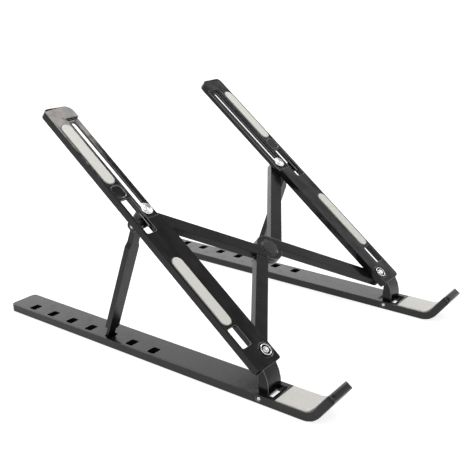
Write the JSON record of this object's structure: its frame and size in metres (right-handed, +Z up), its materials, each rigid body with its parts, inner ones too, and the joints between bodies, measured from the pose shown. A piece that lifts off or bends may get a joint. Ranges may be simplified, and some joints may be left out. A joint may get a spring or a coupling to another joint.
{
  "type": "laptop stand",
  "caption": "Folding laptop stand with slotted base rails, hooked front ledges, sloping arms on prop struts and a flat scissor that joins the two sides.",
  "frame": {"origin": "centre of the footprint on the surface the stand's foot pads rest on", "axes": "+Z up, +Y towards the raised, slotted rear ends of the rails, +X to the right for somebody who faces the stand from its hooked front"},
  "size_m": [0.1826, 0.2644, 0.1512],
  "materials": {
    "black_abs": "satin moulded black plastic with light sheen",
    "black_cap": "smooth black plastic cap",
    "grey_silicone": "light grey silicone with a fine matt texture",
    "black_rubber": "matt black rubber",
    "rivet_nickel": "bright nickel-plated steel with turned rings",
    "pin_steel": "plain steel pin, dull bright ends",
    "white_nylon": "natural nylon washer"
  },
  "bodies": {
    "left_rail_body": {"left_rail": "black_abs", "left_ledge_pad": "grey_silicone", "left_arm_hinge_pin": "pin_steel", "left_front_foot_pad": "black_rubber", "left_rear_foot_pad": "black_rubber"},
    "left_arm_body": {"left_arm": "black_abs", "left_lower_arm_pad": "grey_silicone", "left_upper_arm_pad": "grey_silicone", "left_strut_pin": "pin_steel", "left_pivot_rivet": "rivet_nickel"},
    "left_strut_body": {"left_strut": "black_abs"},
    "bar_b_body": {"cross_bar_b": "black_abs", "right_slide_rivet": "rivet_nickel", "right_slide_washer": "white_nylon"},
    "bar_a_body": {"cross_bar_a": "black_abs", "left_slide_rivet": "rivet_nickel", "left_slide_washer": "white_nylon", "hub_rivet": "black_cap"},
    "right_arm_body": {"right_arm": "black_abs", "right_lower_arm_pad": "grey_silicone", "right_upper_arm_pad": "grey_silicone", "right_strut_pin": "pin_steel", "right_pivot_rivet": "rivet_nickel"},
    "right_rail_body": {"right_rail": "black_abs", "right_ledge_pad": "grey_silicone", "right_arm_hinge_pin": "pin_steel", "right_front_foot_pad": "black_rubber", "right_rear_foot_pad": "black_rubber"},
    "right_strut_body": {"right_strut": "black_abs"}
  },
  "joints": [
    {"name": "left_arm_raise", "type": "hinge", "parent": "left_rail_body", "child": "left_arm_body", "pos_m": [-0.0805, -0.0838, 0.0035], "axis": [1, 0, 0], "range_deg": [0, 48]},
    {"name": "left_strut_stow", "type": "hinge", "parent": "left_arm_body", "child": "left_strut_body", "pos_m": [-0.085, 0.01035, 0.08777], "axis": [1, 0, 0], "range_deg": [-70, 0]},
    {"name": "width_fold", "type": "hinge", "parent": "left_arm_body", "child": "bar_b_body", "pos_m": [-0.075, -0.07453, 0.02212], "axis": [0, -0.6184, 0.7859], "range_deg": [0, 49]},
    {"name": "hub_turn", "type": "hinge", "parent": "bar_b_body", "child": "bar_a_body", "pos_m": [0, -0.03017, 0.05703], "axis": [0, -0.6184, 0.7859], "range_deg": [-98, 0]},
    {"name": "right_arm_fold", "type": "hinge", "parent": "bar_a_body", "child": "right_arm_body", "pos_m": [0.075, -0.07453, 0.02212], "axis": [0, -0.6184, 0.7859], "range_deg": [0, 49]},
    {"name": "right_rail_level", "type": "hinge", "parent": "right_arm_body", "child": "right_rail_body", "pos_m": [0.0805, -0.0838, 0.0035], "axis": [1, 0, 0], "range_deg": [-48, 0]},
    {"name": "right_strut_stow", "type": "hinge", "parent": "right_arm_body", "child": "right_strut_body", "pos_m": [0.085, 0.01035, 0.08777], "axis": [1, 0, 0], "range_deg": [-70, 0]}
  ],
  "couplings": [
    {"joint": "left_strut_stow", "follows": "left_arm_raise", "ratio": -1.4583},
    {"joint": "hub_turn", "follows": "width_fold", "ratio": -2},
    {"joint": "right_arm_fold", "follows": "width_fold", "ratio": 1},
    {"joint": "right_rail_level", "follows": "left_arm_raise", "ratio": -1},
    {"joint": "right_strut_stow", "follows": "left_arm_raise", "ratio": -1.4583}
  ]
}
